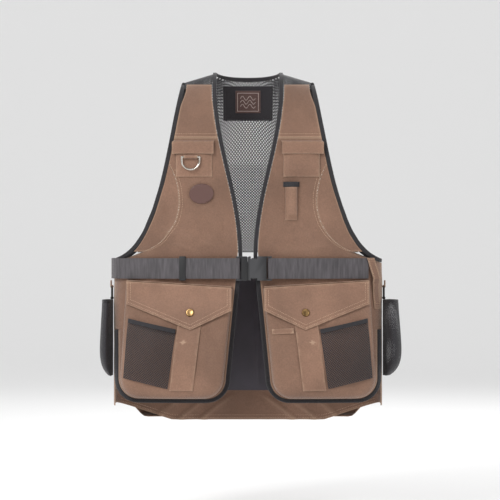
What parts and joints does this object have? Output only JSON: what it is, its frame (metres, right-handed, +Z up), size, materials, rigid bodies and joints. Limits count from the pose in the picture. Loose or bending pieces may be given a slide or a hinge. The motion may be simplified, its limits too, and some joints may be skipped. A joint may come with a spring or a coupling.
{
  "type": "fishing vest",
  "caption": "Sleeveless field vest with bellows pockets under pointed flaps, net pouches, a webbing belt with a side release buckle, side net bags and a game bag behind.",
  "frame": {"origin": "middle of the neck seam at the back, which rests on the wearer's neck", "axes": "+X to the wearer's left, the front faces -Y, +Z up; the vest stands as it is worn"},
  "size_m": [0.5825, 0.2602, 0.6814],
  "materials": {
    "cotton": "brushed cotton canvas, slightly waxed, tan contrast stitching",
    "binding": "woven black binding tape",
    "mesh": "open warp-knitted mesh",
    "net": "coarse diamond net of black cord",
    "webbing": "ribbed polypropylene webbing",
    "lining": "smooth coated lining",
    "label": "woven label, satin face",
    "buckle_plastic": "moulded acetal, semi-gloss",
    "brass": "antique brass, brighter rim",
    "nickel": "nickel plate",
    "leather": "smooth brown leather, burnished edge"
  },
  "bodies": {
    "vest": {"front_panel_r": "cotton", "front_panel_l": "cotton", "yoke_r": "cotton", "yoke_l": "cotton", "underarm_panel_r": "cotton", "underarm_panel_l": "cotton", "shoulder_facing_r": "binding", "shoulder_facing_l": "binding", "back_mesh": "mesh", "back_panel": "cotton", "back_lining": "lining", "neck_patch": "binding", "neck_label": "label", "game_bag": "cotton", "game_bag_binding": "binding", "front_edge_binding": "binding", "armhole_binding_r": "binding", "armhole_binding_l": "binding", "belt_strap_r": "webbing", "belt_strap_l": "webbing", "buckle_female": "buckle_plastic", "belt_loop": "cotton", "pocket_r": "cotton", "pocket_l": "cotton", "pocket_hinge_strip_r": "cotton", "pocket_hinge_strip_l": "cotton", "snap_studs": "brass", "pocket_strips": "cotton", "net_pouch_r": "net", "net_pouch_l": "net", "net_pouch_bindings": "binding", "pocket_welt": "binding", "chest_pocket_r": "cotton", "chest_pocket_l": "cotton", "d_ring_tab": "webbing", "leather_patch": "leather", "pen_holder": "cotton", "pen_elastic": "webbing", "bag_tabs": "webbing"},
    "flap_r": {"pocket_flap_r": "cotton", "snap_caps_r": "brass"},
    "flap_l": {"pocket_flap_l": "cotton", "snap_caps_l": "brass"},
    "chest_flap_r": {"chest_flap_r": "cotton"},
    "chest_flap_l": {"chest_flap_l": "cotton"},
    "ring": {"d_ring": "nickel"},
    "buckle": {"buckle_male": "buckle_plastic", "buckle_prongs": "buckle_plastic"},
    "slider": {"belt_slider": "buckle_plastic"},
    "bag_r": {"net_bag_r": "net", "net_rim_r": "webbing", "bag_hook_r": "nickel"},
    "bag_l": {"net_bag_l": "net", "net_rim_l": "webbing", "bag_hook_l": "nickel"}
  },
  "joints": [
    {"name": "pocket_flap_lift_r", "type": "hinge", "parent": "vest", "child": "flap_r", "pos_m": [-0.131, -0.16861, -0.40354], "axis": [-0.99, 0.1282, 0.0594], "range_deg": [0, 130]},
    {"name": "pocket_flap_lift_l", "type": "hinge", "parent": "vest", "child": "flap_l", "pos_m": [0.131, -0.16861, -0.40354], "axis": [-0.99, -0.1282, -0.0594], "range_deg": [0, 130]},
    {"name": "chest_flap_lift_r", "type": "hinge", "parent": "vest", "child": "chest_flap_r", "pos_m": [-0.102, -0.15415, -0.13037], "axis": [-0.9994, 0.0358, 0.001], "range_deg": [0, 120]},
    {"name": "chest_flap_lift_l", "type": "hinge", "parent": "vest", "child": "chest_flap_l", "pos_m": [0.102, -0.15415, -0.13037], "axis": [-0.9994, -0.0358, -0.001], "range_deg": [0, 120]},
    {"name": "d_ring_swing", "type": "hinge", "parent": "vest", "child": "ring", "pos_m": [-0.10858, -0.16552, -0.16262], "axis": [-1, 0, 0], "range_deg": [0, 150]},
    {"name": "buckle_release", "type": "slide", "parent": "vest", "child": "buckle", "axis": [-1, 0, 0], "range_m": [0, 0.028], "deforming": ["belt_strap_r", "buckle_prongs"]},
    {"name": "slider_slide", "type": "slide", "parent": "vest", "child": "slider", "axis": [-0.997, 0.0775, 0], "range_m": [-0.012, 0.015]},
    {"name": "net_bag_swing_r", "type": "hinge", "parent": "vest", "child": "bag_r", "pos_m": [-0.2628, -0.08302, -0.4095], "axis": [0, 1, 0], "range_deg": [0, 35]},
    {"name": "net_bag_swing_l", "type": "hinge", "parent": "vest", "child": "bag_l", "pos_m": [0.2628, -0.08302, -0.4095], "axis": [0, -1, 0], "range_deg": [0, 35]}
  ]
}
